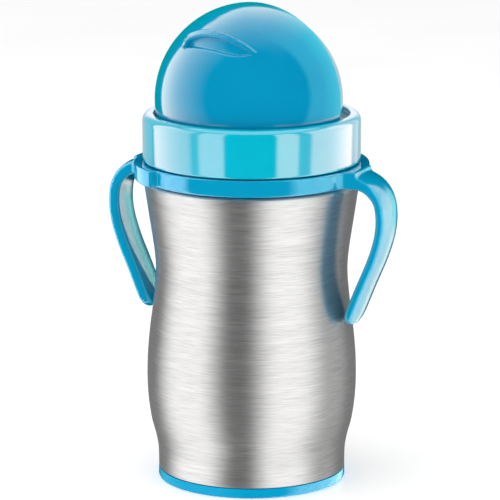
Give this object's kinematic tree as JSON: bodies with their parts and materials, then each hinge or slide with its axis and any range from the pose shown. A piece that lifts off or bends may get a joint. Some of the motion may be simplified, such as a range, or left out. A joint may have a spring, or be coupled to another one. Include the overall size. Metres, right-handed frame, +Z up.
{
  "type": "sippy cup",
  "caption": "Child's double-walled steel straw cup with a waisted body, a ring with side handles, a screw collar and a round visor that turns back over the mouthpiece.",
  "frame": {"origin": "centre of the surface that the cup stands on, under the flask's axis", "axes": "+Z up along the flask's axis, -Y towards the front of the visor, +X along the visor's axis towards its right end"},
  "size_m": [0.1086, 0.079, 0.1734],
  "materials": {
    "steel": "brushed round the axis",
    "blue_plastic": "gloss",
    "pale_blue_plastic": "gloss",
    "white_plastic": "satin",
    "silicone": "soft matt"
  },
  "bodies": {
    "flask": {"outer_shell": "steel", "inner_flask": "steel", "vacuum_plate": "steel", "getter_capsule": "steel", "seal_plug": "steel", "base_cap": "blue_plastic"},
    "handles": {"handle_ring": "blue_plastic"},
    "lid": {"deck_plate": "white_plastic", "back_dome": "pale_blue_plastic", "pivot_pin_left": "steel", "pivot_pin_right": "steel", "plug_insert": "white_plastic", "lid_gasket": "silicone", "spout_seat": "silicone", "straw_tube": "white_plastic", "vent_valve": "silicone"},
    "collar": {"screw_collar": "pale_blue_plastic"},
    "visor": {"visor": "blue_plastic"},
    "mouthpiece": {"mouthpiece": "silicone"}
  },
  "joints": [
    {"name": "handle_turn", "type": "hinge", "parent": "flask", "child": "handles", "pos_m": [0, 0, 0.1134], "axis": [0, 0, 1], "continuous": true},
    {"name": "lid_lift", "type": "slide", "parent": "flask", "child": "lid", "axis": [0, 0, 1], "range_m": [0, 0.13]},
    {"name": "collar_turn", "type": "hinge", "parent": "lid", "child": "collar", "pos_m": [0, 0, 0.1255], "axis": [0, 0, 1], "range_deg": [0, 540]},
    {"name": "visor_open", "type": "hinge", "parent": "lid", "child": "visor", "pos_m": [0, 0, 0.1387], "axis": [-1, 0, 0], "range_deg": [0, 98]},
    {"name": "mouthpiece_rise", "type": "hinge", "parent": "lid", "child": "mouthpiece", "pos_m": [0, 0.012, 0.1356], "axis": [-1, 0, 0], "range_deg": [0, 45]}
  ],
  "couplings": [
    {"joint": "mouthpiece_rise", "follows": "visor_open", "ratio": 0.459}
  ]
}
